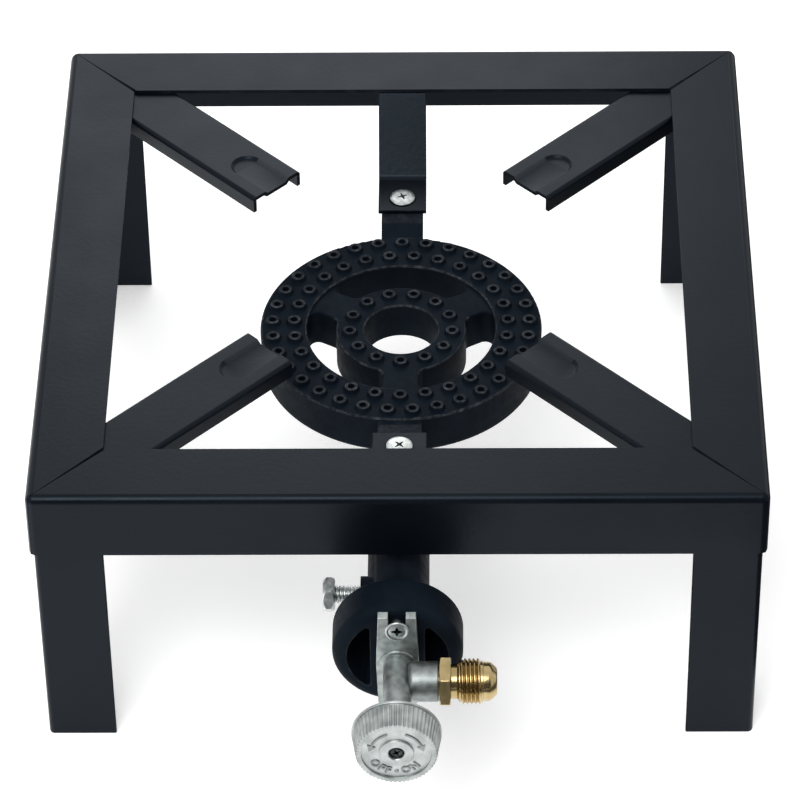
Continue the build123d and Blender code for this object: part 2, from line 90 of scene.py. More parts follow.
# %% Start a finish and make a noise
def new_finish(name):
    """Start a node material and give back its tree, its shader and its Object coordinates."""
    finish = bpy.data.materials.new(name)
    finish.use_nodes = True
    tree = finish.node_tree
    shader = tree.nodes["Principled BSDF"]
    where = tree.nodes.new("ShaderNodeTexCoord").outputs["Object"]
    return finish, tree, shader, where


def noise(tree, where, scale, detail=2.0, roughness=0.5):
    """A noise value; a scale of 1000 repeats about every millimetre."""
    node = tree.nodes.new("ShaderNodeTexNoise")
    node.inputs["Scale"].default_value = scale
    node.inputs["Detail"].default_value = detail
    node.inputs["Roughness"].default_value = roughness
    tree.links.new(where, node.inputs["Vector"])
    return node.outputs["Fac"]


# %% Turn a value into a colour, a number or a bump
def shade(tree, value, low, high, start=0.35, end=0.65):
    """Turn a value into a colour between two colours."""
    node = tree.nodes.new("ShaderNodeValToRGB")
    node.color_ramp.elements[0].position = start
    node.color_ramp.elements[0].color = (*low, 1)
    node.color_ramp.elements[1].position = end
    node.color_ramp.elements[1].color = (*high, 1)
    tree.links.new(value, node.inputs["Fac"])
    return node.outputs["Color"]


def spread(tree, value, low, high, start=0.3, end=0.7):
    """Turn a value into a number between two limits."""
    node = tree.nodes.new("ShaderNodeMapRange")
    node.inputs["From Min"].default_value = start
    node.inputs["From Max"].default_value = end
    node.inputs["To Min"].default_value = low
    node.inputs["To Max"].default_value = high
    tree.links.new(value, node.inputs["Value"])
    return node.outputs["Result"]


def blend(tree, factor, first, second):
    """Mix two colour outputs by a factor."""
    node = tree.nodes.new("ShaderNodeMix")
    node.data_type = "RGBA"
    tree.links.new(factor, node.inputs["Factor"])
    tree.links.new(first, node.inputs[6])
    tree.links.new(second, node.inputs[7])
    return node.outputs[2]


def relief(tree, height, depth, strength, under=None):
    """Turn a height into a bump of a depth in metres, on top of another bump if there is one."""
    node = tree.nodes.new("ShaderNodeBump")
    node.inputs["Strength"].default_value = strength
    node.inputs["Distance"].default_value = depth
    tree.links.new(height, node.inputs["Height"])
    if under is not None:
        tree.links.new(under, node.inputs["Normal"])
    return node.outputs["Normal"]


# %% [markdown]
# ## Marks of wear
# Paint and plate wear off where hands and pans rub, and dirt stays where nothing rubs. A node could
# look for edges by the bend of the mesh, but what it finds depends on how fine the mesh is. So faces
# carry numbers of their own, edge_wear and a grime mark, which are set while the shapes are made. The
# grime mark also carries painted shade and painted shadow, in recesses, flutes and round screw feet,
# and edge_wear also paints the lugs' tops lighter, as painted light. The finishes read them, and a
# noise breaks the rubbed edges up.

# %% Read the marks
def face_mark(tree, name):
    """The number that the faces of a piece carry under a name."""
    node = tree.nodes.new("ShaderNodeAttribute")
    node.attribute_name = name
    return node.outputs["Fac"]


def combine(tree, operation, first, second):
    """Make one number of two, such as their product or the larger one."""
    node = tree.nodes.new("ShaderNodeMath")
    node.operation = operation
    tree.links.new(first, node.inputs[0])
    tree.links.new(second, node.inputs[1])
    return node.outputs["Value"]


wear_start, wear_full = 0.45, 0.62


def edge_wear(tree, where, scale, least=0.0):
    """Rubbed edges: the mark of an edge, broken up by a noise down to a least share."""
    patches = noise(tree, where, scale, detail=3)
    broken = spread(tree, patches, least, 1.0, wear_start, wear_full)
    return combine(tree, "MULTIPLY", face_mark(tree, "edge_wear"), broken)


# %% [markdown]
# ## Powder coat
# The stand is blue-black powder coat, baked on. The colour itself is almost black: what is seen is
# its satin gloss, so the skirt shows the bell as a dark patch. A fine orange peel and a slow change
# in gloss make the sheet look coated. Cut edges are rubbed a little lighter and duller.

# %% Powder coat finish
coat_colours = ((0.0014, 0.0026, 0.0048), (0.0026, 0.0042, 0.0068))
rubbed_coat_colours = ((0.008, 0.010, 0.013), (0.024, 0.027, 0.032))
coat_gloss = (0.29, 0.38)
dull_share, dull_gloss = 0.3, 0.8
powder_coat, tree, shader, where = new_finish("powder_coat")
coat_cloud = shade(tree, noise(tree, where, scale=28, detail=4), *coat_colours)
coat_rubbed = shade(tree, noise(tree, where, scale=900, detail=2), *rubbed_coat_colours)
coat_colour = blend(tree, edge_wear(tree, where, scale=160), coat_cloud, coat_rubbed)
tree.links.new(coat_colour, shader.inputs["Base Color"])
sheet_roughness = spread(tree, noise(tree, where, scale=45, detail=3), *coat_gloss)
edge_roughness = spread(tree, face_mark(tree, "edge_wear"), 0.0, dull_gloss, 0.0, dull_share)
coat_roughness = combine(tree, "MAXIMUM", sheet_roughness, edge_roughness)
tree.links.new(coat_roughness, shader.inputs["Roughness"])
orange_peel = relief(tree, noise(tree, where, scale=620, detail=1), depth=0.00010, strength=0.30)
coat_specks = noise(tree, where, scale=2600, detail=2)
coat_grain = relief(tree, coat_specks, depth=0.00004, strength=0.20, under=orange_peel)
tree.links.new(coat_grain, shader.inputs["Normal"])
shader.inputs["Specular IOR Level"].default_value = 0.174
shader.inputs["Specular Tint"].default_value = (0.66, 0.82, 1.0, 1)
print("finish", powder_coat.name)

# %% [markdown]
# ## Cast iron
# The burner is sand cast and painted black. Sand leaves a rough skin with pits, and paint fills only
# the finest of it. Two bumps of different size give the skin. The rims of the nipples and of the
# rings are rubbed bare, so the same edge mark as on the sheets turns them grey.

# %% Cast iron finish
iron_colours = ((0.0035, 0.0060, 0.0098), (0.0059, 0.0093, 0.0142))
bare_iron_colours = ((0.024, 0.027, 0.032), (0.085, 0.089, 0.096))
iron_gloss = (0.48, 0.62)
cast_iron, tree, shader, where = new_finish("cast_iron")
iron_cloud = shade(tree, noise(tree, where, scale=70, detail=5, roughness=0.6), *iron_colours)
iron_bare = shade(tree, noise(tree, where, scale=700, detail=3), *bare_iron_colours)
iron_colour = blend(tree, edge_wear(tree, where, scale=240, least=0.5), iron_cloud, iron_bare)
tree.links.new(iron_colour, shader.inputs["Base Color"])
iron_roughness = spread(tree, noise(tree, where, scale=320, detail=3), *iron_gloss)
tree.links.new(iron_roughness, shader.inputs["Roughness"])
sand_grains = noise(tree, where, scale=900, detail=5, roughness=0.65)
sand_skin = relief(tree, sand_grains, depth=0.00022, strength=0.22)
sand_cells = tree.nodes.new("ShaderNodeTexVoronoi")
sand_cells.inputs["Scale"].default_value = 420
tree.links.new(where, sand_cells.inputs["Vector"])
sand_pits = spread(tree, sand_cells.outputs["Distance"], 0.0, 1.0, 0.0, 0.22)
pitted_skin = relief(tree, sand_pits, depth=0.00012, strength=0.3, under=sand_skin)
tree.links.new(pitted_skin, shader.inputs["Normal"])
shader.inputs["Specular IOR Level"].default_value = 0.043
shader.inputs["Specular Tint"].default_value = (0.58, 0.78, 1.0, 1)
print("finish", cast_iron.name)

# %% [markdown]
# ## Bare metals
# The valve body and the knob are zinc die castings, left bare: grey, cloudy and not quite smooth. The
# screws and the bolt are zinc plate on steel, and the knob's own screw is coloured near black as
# painted shade, for the dark hole it sits in. All of them are one recipe with other numbers: a cloudy
# colour, an uneven gloss, a fine grain, edges rubbed brighter, and a dark colour where a shape carries
# the grime mark: real grime on the inlet boss, painted shade down in a recess or a flute, a painted
# shadow round a screw's foot, and darker marks on the knob.

# %% Metal recipe
grime_and_shade_colours = ((0.002, 0.003, 0.003), (0.010, 0.013, 0.013))
rubbed_gains = (1.15, 1.40)


def metal_finish(name, dull, bright, gloss, cloud, grain):
    """A bare metal between two colours, its roughness between the two values of gloss."""
    finish, tree, shader, where = new_finish(name)
    clouds = shade(tree, noise(tree, where, scale=cloud, detail=4), dull, bright)
    rubbed_colours = [[min(1.0, gain * value) for value in bright] for gain in rubbed_gains]
    rubbed = shade(tree, noise(tree, where, scale=500, detail=2), *rubbed_colours)
    worn_colour = blend(tree, edge_wear(tree, where, scale=300), clouds, rubbed)
    # Where a face carries the grime mark, its colour turns soot dark: real grime on the inlet boss,
    # painted shade in recesses and flutes, and a painted shadow round screw feet.
    grime_and_shade_colour = shade(tree, noise(tree, where, scale=600, detail=2), *grime_and_shade_colours)
    colour = blend(tree, face_mark(tree, "grime_and_shade"), worn_colour, grime_and_shade_colour)
    tree.links.new(colour, shader.inputs["Base Color"])
    roughness = spread(tree, noise(tree, where, scale=2 * cloud, detail=3), *gloss)
    tree.links.new(roughness, shader.inputs["Roughness"])
    fine_grain = relief(tree, noise(tree, where, scale=1400, detail=3), depth=0.00007, strength=grain)
    tree.links.new(fine_grain, shader.inputs["Normal"])
    shader.inputs["Metallic"].default_value = 1.0
    print("finish", name)
    return finish


# %% Metals of the castings and the screws
zinc_casting = metal_finish(
    "zinc_casting", dull=(0.265, 0.295, 0.289), bright=(0.44, 0.474, 0.466),
    gloss=(0.40, 0.52), cloud=340, grain=0.5,
)
knob_zinc = metal_finish(
    "knob_zinc", dull=(0.36, 0.388, 0.383), bright=(0.57, 0.597, 0.59),
    gloss=(0.36, 0.50), cloud=240, grain=0.4,
)
plated_steel = metal_finish(
    "plated_steel", dull=(0.40, 0.435, 0.43), bright=(0.56, 0.59, 0.585),
    gloss=(0.28, 0.40), cloud=300, grain=0.2,
)
bolt_steel = metal_finish(
    "bolt_steel", dull=(0.36, 0.39, 0.385), bright=(0.68, 0.71, 0.705),
    gloss=(0.30, 0.40), cloud=420, grain=0.2,
)
bright_plate = metal_finish(
    "bright_plate", dull=(0.42, 0.455, 0.45), bright=(0.68, 0.71, 0.705),
    gloss=(0.32, 0.46), cloud=620, grain=0.3,
)
# Painted shade: the knob's screw is coloured near black, standing for the dark hole it sits in.
painted_shade_steel = metal_finish(
    "painted_shade_steel", dull=(0.03, 0.034, 0.035), bright=(0.07, 0.076, 0.077),
    gloss=(0.14, 0.24), cloud=420, grain=0.2,
)

# %% [markdown]
# ## Brass and rubber
# The inlet is turned brass, so besides clouds its bump has fine rings across the turning axis, which
# a wave texture gives along X. The seal is plain black rubber and is only seen when taken apart.

# %% Turned brass finish
brass_colours = ((0.41, 0.313, 0.150), (0.545, 0.426, 0.224))
brass_gloss = (0.18, 0.26)
brass, tree, shader, where = new_finish("brass")
brass_cloud = shade(tree, noise(tree, where, scale=180, detail=4), *brass_colours)
tree.links.new(brass_cloud, shader.inputs["Base Color"])
brass_roughness = spread(tree, noise(tree, where, scale=380, detail=3), *brass_gloss)
tree.links.new(brass_roughness, shader.inputs["Roughness"])
turning_marks = tree.nodes.new("ShaderNodeTexWave")
turning_marks.inputs["Scale"].default_value = 900
turning_marks.inputs["Distortion"].default_value = 1.5
turning_marks.inputs["Detail"].default_value = 1
tree.links.new(where, turning_marks.inputs["Vector"])
turned_skin = relief(tree, turning_marks.outputs["Fac"], depth=0.00002, strength=0.2)
tree.links.new(turned_skin, shader.inputs["Normal"])
shader.inputs["Metallic"].default_value = 1.0
print("finish", brass.name)

# %% Rubber finish
rubber_colours = ((0.010, 0.010, 0.010), (0.022, 0.022, 0.022))
rubber_gloss = (0.55, 0.75)
rubber, tree, shader, where = new_finish("rubber")
rubber_cloud = shade(tree, noise(tree, where, scale=800, detail=3), *rubber_colours)
tree.links.new(rubber_cloud, shader.inputs["Base Color"])
rubber_roughness = spread(tree, noise(tree, where, scale=1500, detail=2), *rubber_gloss)
tree.links.new(rubber_roughness, shader.inputs["Roughness"])
rubber_grain = relief(tree, noise(tree, where, scale=2600, detail=2), depth=0.00003, strength=0.3)
tree.links.new(rubber_grain, shader.inputs["Normal"])
print("finish", rubber.name)

# %% [markdown]
# ## Building blocks for shapes
# A turned part is an outline spun round an axis, so most bought parts here need one outline each.
# Shapes are drawn standing on the XY plane in millimetres, with their axis up. A placing matrix then
# turns the axis to where it points on the object and scales millimetres to metres.

# %% Placing and turning
to_metres = Matrix.Scale(0.001, 4)
facing_front = Matrix.Rotation(radians(90), 4, "X")
facing_right = Matrix.Rotation(radians(90), 4, "Y")
facing_left = Matrix.Rotation(radians(-90), 4, "Y")


def placing(x, y, z, facing=Matrix.Identity(4)):
    """Matrix that carries a shape drawn in millimetres to its place on the object."""
    return to_metres @ Matrix.Translation((x, y, z)) @ facing


def turned(outline, steps=64):
    """Spin an outline of (radius, height) points once round the Z axis."""
    shape = bmesh.new()
    points = [shape.verts.new((radius, 0, height)) for radius, height in outline]
    lines = [shape.edges.new(pair) for pair in zip(points, points[1:])]
    bmesh.ops.spin(
        shape, geom=points + lines, cent=(0, 0, 0), axis=(0, 0, 1),
        angle=2 * pi, steps=steps, use_merge=True,
    )
    bmesh.ops.remove_doubles(shape, verts=shape.verts, dist=1e-4)
    bmesh.ops.recalc_face_normals(shape, faces=shape.faces)
    return shape


# %% [markdown]
# ## Rounded edges
# No real edge is quite sharp, and its small round is what catches the light. A Bevel modifier could
# make it, but bmesh's bevel also gives back the new faces, so each of them can be marked with its
# share of wear at once. The angle between two faces decides which edges are sharp.

# %% Rounding edges
def wear_mark(shape):
    """The face attribute that the finishes read as a rubbed edge."""
    return shape.faces.layers.float.get("edge_wear") or shape.faces.layers.float.new("edge_wear")


def round_edges(shape, edges, width, segments=2, rubbed=1.0):
    """Bevel some edges, mark how much the new faces rub and count the edges."""
    mark = wear_mark(shape)
    bevel = bmesh.ops.bevel(
        shape, geom=edges, offset=width, affect="EDGES", segments=segments,
        profile=0.5, material=-1, clamp_overlap=True,
    )
    for face in bevel["faces"]:
        face[mark] = rubbed
    return len(edges)


def is_sharp(edge, limit=40):
    """True where two faces meet at more than an angle."""
    return edge.is_manifold and edge.calc_face_angle() > radians(limit)


def soften(shape, width, segments=2, keep=()):
    """Round every sharp outside edge but those to keep."""
    sharp = [edge for edge in shape.edges if is_sharp(edge) and edge.is_convex and edge not in keep]
    round_edges(shape, sharp, width, segments)


# %% Joining shapes and settling pieces
def join(target, shape, place=Matrix.Identity(4)):
    """Carry a finished shape into another one."""
    bmesh.ops.transform(shape, matrix=place, verts=shape.verts)
    passing = bpy.data.meshes.new("passing")
    shape.to_mesh(passing)
    shape.free()
    target.from_mesh(passing)
    bpy.data.meshes.remove(passing)


def settle(shape, name, finish, body, nodes, smooth=28, flat=50):
    """Make a piece of a shape: smooth it up to an angle, dress it and hang it on its body.

    A flat of 100 lets the largest face at a point decide the shading there, which suits sheets.
    """
    mesh = bpy.data.meshes.new(name)
    shape.to_mesh(mesh)
    shape.free()
    mesh.shade_smooth()
    mesh.set_sharp_from_angle(angle=radians(smooth))
    mesh.materials.append(finish)
    piece = bpy.data.objects.new(name, mesh)
    bpy.context.scene.collection.objects.link(piece)
    even = piece.modifiers.new("even_shading", "WEIGHTED_NORMAL")
    even.weight = flat
    even.keep_sharp = True
    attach(piece, body)
    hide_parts(*nodes)
    print(name, len(mesh.polygons), "faces")


# %% [markdown]
# ## Stand, arms and straps
# Rails, legs, arms and straps are sheared and folded from sheet about 1.5 mm thick, then coated. The
# CAD solids already have the folds. What they lack is the small round that coating leaves on every cut
# edge, which is where a dark sheet catches the light. A merged copy of each solid gets that round. On
# the rails the coat also widens the outer bend, and each mitre is a closed groove, deeper inwards.

# %% Rails: the outer bend
tolerance = 1e-5
outer_half, stand_top = 0.127, 0.115
corner_radius, bend_radius, coated_radius = 0.003, 0.002, 0.0029
rail_facing = {"right": 0, "rear": 90, "left": 180, "front": 270}


def widen_bend(rail):
    """Move the points of a rail's outer bend from the bare radius to the coated one."""
    straight = outer_half - corner_radius
    growth = coated_radius / bend_radius
    for point in rail.verts:
        base = Vector([max(-straight, min(straight, value)) for value in point.co.xy])
        out = point.co.xy - base
        inward = corner_radius - out.length
        down = stand_top - point.co.z
        off_round = Vector((bend_radius - inward, bend_radius - down)).length - bend_radius
        if max(inward, down) < bend_radius + tolerance and abs(off_round) < 2 * tolerance:
            point.co.xy = base + out * (corner_radius - growth * inward) / out.length
            point.co.z = stand_top - growth * down


# %% Rails: the mitres
inner_half = 0.1015
mitre_gap, seam_half = 0.0004, 0.000002
gaps_longer = 1.5
groove_slope, groove_lean = 0.018, 0.52


def trim(rail, plane_point, plane_normal):
    """Cut off what lies beyond a plane, close the cut with a dull face and give its edges."""
    cut = bmesh.ops.bisect_plane(
        rail, geom=rail.verts[:] + rail.edges[:] + rail.faces[:], clear_outer=True, dist=1e-6,
        plane_co=plane_point, plane_no=plane_normal,
    )
    rim = [item for item in cut["geom_cut"] if isinstance(item, bmesh.types.BMEdge)]
    for face in bmesh.ops.edgeloop_fill(rail, edges=rim)["faces"]:
        face[wear_mark(rail)] = dull_share
    return rim


def fit_mitres(rail, facing):
    """Lengthen a rail up to its mitres and groove their tops; give the edges to leave sharp."""
    kept = set()
    mark = wear_mark(rail)
    for side in (-1, 1):
        along = Matrix.Rotation(radians(facing + 45 * side), 3, "Z") @ Vector((1, 0, 0))
        across = Matrix.Rotation(radians(90 * side), 3, "Z") @ along
        lengthways = Matrix.Rotation(radians(facing + 90 * side), 3, "Z") @ Vector((1, 0, 0))
        end = [point for point in rail.verts if abs(point.co.dot(across) + mitre_gap / 2) < tolerance]
        bmesh.ops.translate(rail, vec=lengthways * gaps_longer * mitre_gap, verts=end)
        corner_top = along * outer_half * sqrt(2) + Vector((0, 0, stand_top)) - across * seam_half
        kept.update(trim(rail, corner_top, across))
        groove_normal = across - along * groove_slope + Vector((0, 0, groove_lean))
        kept.update(trim(rail, corner_top, groove_normal))
    bmesh.ops.recalc_face_normals(rail, faces=rail.faces)
    for face in rail.faces:
        reach = max(abs(value) for value in face.calc_center_median().xy)
        if abs(reach - inner_half) < 10 * tolerance:
            face[mark] = dull_share
    return {edge for edge in kept if edge.is_valid}


# %% Coat the folded sheets
def merged_copy(node):
    """Copy a CAD node and merge its loose triangles into plain faces."""
    shape = bmesh.new()
    shape.from_mesh(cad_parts[node].data)
    bmesh.ops.remove_doubles(shape, verts=shape.verts, dist=2e-6)
    bmesh.ops.dissolve_limit(shape, angle_limit=radians(0.6), verts=shape.verts, edges=shape.edges)
    return shape


corners = ("front_left", "front_right", "rear_left", "rear_right")
sheet_nodes = [f"{side}_rail" for side in rail_facing]
sheet_nodes += [f"leg_{corner}" for corner in corners]
sheet_nodes += [f"arm_{corner}" for corner in corners]
sheet_nodes += ["front_strap", "rear_strap"]
coat_round = 0.0004
for node in sheet_nodes:
    sheet = merged_copy(node)
    side = node.removesuffix("_rail")
    mitre_edges = set()
    if side in rail_facing:
        widen_bend(sheet)
        mitre_edges = fit_mitres(sheet, rail_facing[side])
    soften(sheet, coat_round, keep=mitre_edges)
    settle(sheet, f"coated_{node}", powder_coat, "stand", [node], smooth=50, flat=100)

# %% [markdown]
# ## Burner casting
# The burner is one hollow iron casting: two rings of flame nipples, three spokes, a mixer tube and an
# air bell. Its solid already has every hole, so a merged copy keeps them. Casting never leaves a sharp
# corner: a nipple flows out of the ring, its rim is round, and so are the long outside edges.

# %% Find edges of the casting
ring_top, web_top = 0.0838, 0.0824
nipple_height = 0.0018
ring_radius = 0.0515
rim_round = 0.0008
burner = merged_copy("burner")


def lies_at(edge, axis, place):
    """True where both ends of an edge are at one place along an axis."""
    return max(abs(vert.co[axis] - place) for vert in edge.verts) < tolerance


def on_rings(edge, rise):
    """True for an edge inside the outer ring's rim and at a rise above either ring's top."""
    inside = max(vert.co.xy.length for vert in edge.verts) < ring_radius - rim_round / 2
    return inside and any(lies_at(edge, 2, top + rise) for top in (ring_top, web_top))


# %% Round the nipples
nipple_round, nipple_rubbed = 0.00036, 0.85
nipple_rims = [
    edge for edge in burner.edges
    if is_sharp(edge, 30) and edge.is_convex and on_rings(edge, nipple_height)
]
print("nipple rim edges", round_edges(burner, nipple_rims, nipple_round, 3, nipple_rubbed))
foot_fillet = 0.0005
nipple_feet = [
    edge for edge in burner.edges
    if is_sharp(edge) and not edge.is_convex and on_rings(edge, 0)
]
print("nipple foot edges", round_edges(burner, nipple_feet, foot_fillet, rubbed=0.0))

# %% Round the bell's mouths and the long edges
lip_front = -0.1611
mouth_round, mouth_rubbed = 0.0008, 0.3
mouth_edges = [
    edge for edge in burner.edges
    if is_sharp(edge) and edge.is_convex and lies_at(edge, 1, lip_front)
]
print("mouth edges", round_edges(burner, mouth_edges, mouth_round, 3, mouth_rubbed))
long_from = 0.004
long_round, long_rubbed = 0.0007, 0.5
long_edges = [
    edge for edge in burner.edges
    if is_sharp(edge) and edge.is_convex and edge.calc_length() > long_from
]
print("long outside edges", round_edges(burner, long_edges, long_round, 3, long_rubbed))

# %% Mark the ring's shoulders and the lugs
lug_top = 0.0860
# The lugs' flat tops get part of the rubbed edge mark, which paints them lighter as painted light.
shoulder_rubbed, lug_painted_light = 0.6, 0.2
steep, level = 0.2, 0.95
mark = wear_mark(burner)
for face in burner.faces:
    middle = face.calc_center_median()
    top = ring_top if middle.xy.length > ring_radius / 2 + rim_round else web_top
    on_ring = middle.xy.length < ring_radius + rim_round
    if on_ring and steep < face.normal.z < level and 0 < top - middle.z < rim_round:
        face[mark] = shoulder_rubbed
    elif face.normal.z > level and abs(middle.z - lug_top) < tolerance:
        face[mark] = lug_painted_light
settle(burner, "burner_casting", cast_iron, "stand", ["burner"], smooth=40)

# %% [markdown]
# ## Cross-head screws
# Bought screws have a cross recess that narrows as it goes down. The recess is a small square with
# four pointed wings, pulled down into a taper, and a Boolean cuts it out of the spun head; its walls
# are painted dark as painted shade. A pan head is a low dome, very low on the strap screws, where a
# thin dark ring round the foot is a painted shadow, as is the head's own foot. The valve's screw has a
# flat head with a raised rim.

# %% Cross recess
wing_taper, foot_taper = 0.35, 0.4


def cross_recess(reach, width, depth):
    """A plug with four pointed wings, narrower at its foot, with its top on the XY plane."""
    plug = bmesh.new()
    bmesh.ops.create_grid(plug, x_segments=1, y_segments=1, size=width / 2)
    for side in list(plug.edges):
        outwards = (side.verts[0].co + side.verts[1].co).normalized()
        wing = bmesh.ops.extrude_edge_only(plug, edges=[side])
        ends = [item for item in wing["geom"] if isinstance(item, bmesh.types.BMVert)]
        bmesh.ops.translate(plug, vec=outwards * (reach - width / 2), verts=ends)
        about_end = Matrix.Translation(-outwards * reach)
        bmesh.ops.scale(plug, vec=(wing_taper, wing_taper, 1), verts=ends, space=about_end)
    foot = bmesh.ops.extrude_face_region(plug, geom=list(plug.faces))
    foot_points = [item for item in foot["geom"] if isinstance(item, bmesh.types.BMVert)]
    bmesh.ops.scale(plug, vec=(foot_taper, foot_taper, 1), verts=foot_points)
    bmesh.ops.translate(plug, vec=(0, 0, -depth), verts=foot_points)
    bmesh.ops.recalc_face_normals(plug, faces=plug.faces)
    return plug


def carved(shape, plug):
    """Cut a plug out of a shape with a Boolean and give back the result."""
    solids = []
    for source in (shape, plug):
        mesh = bpy.data.meshes.new("carving")
        source.to_mesh(mesh)
        source.free()
        solid = bpy.data.objects.new("carving", mesh)
        bpy.context.scene.collection.objects.link(solid)
        solids.append(solid)
    cut = solids[0].modifiers.new("cut", "BOOLEAN")
    cut.operation = "DIFFERENCE"
    cut.solver = "EXACT"
    cut.object = solids[1]
    result = bmesh.new()
    result.from_object(solids[0], bpy.context.evaluated_depsgraph_get())
    for solid in solids:
        mesh = solid.data
        bpy.data.objects.remove(solid)
        bpy.data.meshes.remove(mesh)
    return result


# %% A screw from its outline
shank_tip = 0.5
plug_rise = 0.01
unshaded_slope, unshaded_drop = 0.9, 0.3
shadow_foot_share = 0.15


def cross_head_screw(head_outline, shank, length, recess, turn, recess_shade=1.0):
    """Screw whose head stands on the XY plane; recess is the cross's reach, width and depth.

    The last argument is how dark the cross is painted, as painted shade in the recess; the faces
    round the head's foot are painted dark too, as a painted shadow.
    """
    reach, width, depth = recess
    head_top = head_outline[0][1]
    tip = shank - shank_tip
    shank_outline = [(shank, 0), (shank, shank_tip - length), (tip, -length), (0, -length)]
    blank = turned(head_outline + shank_outline)
    plug = cross_recess(reach, width, depth)
    top = Matrix.Translation((0, 0, head_top + plug_rise))
    bmesh.ops.transform(plug, verts=plug.verts, matrix=top @ Matrix.Rotation(radians(turn), 4, "Z"))
    screw = carved(blank, plug)
    grime_and_shade = screw.faces.layers.float.new("grime_and_shade")
    for face in screw.faces:
        middle = face.calc_center_median()
        # Faces down in the cross get painted shade, and faces round the head's foot a painted shadow.
        inside = middle.xy.length < reach and middle.z > head_top - depth
        if inside and (face.normal.z < unshaded_slope or middle.z < head_top - unshaded_drop):
            face[grime_and_shade] = recess_shade
        elif 0 < middle.z < shadow_foot_share * head_top:
            face[grime_and_shade] = 1.0
    return screw


# %% Outlines of the heads
pan_shares = (
    (0, 1), (0.50, 1), (0.72, 0.94), (0.88, 0.80), (0.97, 0.58), (1, 0.36), (0.94, 0.14), (0.9, 0),
)
rimmed_shares = (
    (0, 0.7), (0.62, 0.7), (0.70, 0.62), (0.76, 0.85), (0.86, 1), (0.95, 0.9), (1, 0.55), (0.97, 0),
)


def screw_head(shares, radius, height):
    """Outline of a screw's head, from its middle down to its seat."""
    return [(radius * out, height * up) for out, up in shares]


# %% Strap screws
strap_screw_reach = 70.0
strap_foot_top = 87.6
# A thin flat ring round each strap screw's foot, coloured dark as a painted shadow under the head.
painted_shadow_ring = [(4.4, 0.06), (5.2, 0.06), (5.2, 0)]
strap_screw_head = screw_head(pan_shares, radius=4.75, height=1.0) + painted_shadow_ring
strap_screws = bmesh.new()
for facing, turn in ((-1, 45), (1, 20)):
    screw = cross_head_screw(
        strap_screw_head, shank=2.5, length=6.4, recess=(2.0, 1.0, 1.5), turn=turn, recess_shade=0.5
    )
    join(strap_screws, screw, placing(0, facing * strap_screw_reach, strap_foot_top))
settle(strap_screws, "strap_screw_pair", bright_plate, "stand", ["strap_screws"])

# %% Fork screw
mixer_height = 73.0
plate_front = -164.3
fork_screw_rise = 15.8
valve_place = placing(0, plate_front, mixer_height, facing_front)
fork_screw_head = screw_head(rimmed_shares, radius=4.15, height=1.0)
fork_screw = bmesh.new()
join(
    fork_screw,
    cross_head_screw(fork_screw_head, shank=2.0, length=10.0, recess=(2.0, 1.3, 1.7), turn=0),
    valve_place @ Matrix.Translation((0, fork_screw_rise, 0)),
)
settle(fork_screw, "fork_screw", plated_steel, "stand", ["valve_screw"])

# %% [markdown]
# ## Hexagons and threads
# A bolt head starts as a turned disc with a cone at each end, and six flats are milled off it. Cutting
# it in the same order with bisect planes gives the curved corners that a real hexagon has. A thread
# is one tooth spun along a screw line, with its first and last turns clipped by a cone.

# %% Hexagon
face_share, corner_share = 0.48, 0.02


def hexagon(flats, height, turn, chamfer=30, hole=0.0):
    """Chamfered hexagon standing on the XY plane, with a round hole if one is asked for."""
    corner = flats / sqrt(3)
    face = face_share * flats
    drop = (corner - face) * tan(radians(chamfer))
    outline = [
        (hole, height), (face, height), (corner, height - drop), (corner, drop), (face, 0), (hole, 0),
    ]
    if hole > 0:
        outline.append(outline[0])
    blank = turned(outline, steps=72)
    for side in range(6):
        angle = radians(60 * side + turn)
        outwards = Vector((cos(angle), sin(angle), 0))
        cut = bmesh.ops.bisect_plane(
            blank, geom=blank.verts[:] + blank.edges[:] + blank.faces[:],
            plane_co=outwards * flats / 2, plane_no=outwards, clear_outer=True, dist=1e-5,
        )
        rim = [item for item in cut["geom_cut"] if isinstance(item, bmesh.types.BMEdge)]
        bmesh.ops.edgeloop_fill(blank, edges=rim)
    bmesh.ops.recalc_face_normals(blank, faces=blank.faces)
    upright = [
        edge for edge in blank.edges
        if is_sharp(edge) and abs(edge.verts[0].co.z - edge.verts[1].co.z) > 0.5 * edge.calc_length()
        and edge.verts[0].co.xy.length > face
    ]
    round_edges(blank, upright, corner_share * flats)
    mark = wear_mark(blank)
    for cut_face in blank.faces:
        if 0.1 < abs(cut_face.normal.z) < level:
            cut_face[mark] = 1.0
    return blank


# %% Thread
def thread(root, crest, pitch, length, steps=40):
    """Screw thread round the Z axis from the XY plane up, clipped by a cone at both ends."""
    shape = bmesh.new()
    tooth = ((root, 0.0), (crest, 0.42), (crest, 0.58), (root, 1.0))
    points = [shape.verts.new((radius, 0, part * pitch)) for radius, part in tooth]
    lines = [shape.edges.new(pair) for pair in zip(points, points[1:])]
    shape.faces.new(points)
    turn_steps = round((length / pitch - 1) * steps)
    bmesh.ops.spin(
        shape, geom=points + lines, cent=(0, 0, 0), axis=(0, 0, 1), dvec=(0, 0, pitch / steps),
        angle=2 * pi * turn_steps / steps, steps=turn_steps, use_merge=False,
    )
    bmesh.ops.remove_doubles(shape, verts=shape.verts, dist=1e-4)
    for point in shape.verts:
        room = root + max(0.0, min(point.co.z, length - point.co.z))
        if point.co.xy.length > room:
            point.co.xy *= room / point.co.xy.length
    bmesh.ops.recalc_face_normals(shape, faces=shape.faces)
    return shape


# %% [markdown]
# ## Throttle bolt
# The bolt on the left of the mixer tube sets the air. It could be a thread cut into a solid, but a
# plain core with a thread wound round it needs no Boolean. The thread's last turn ends inside the
# head, so it runs right up to it.

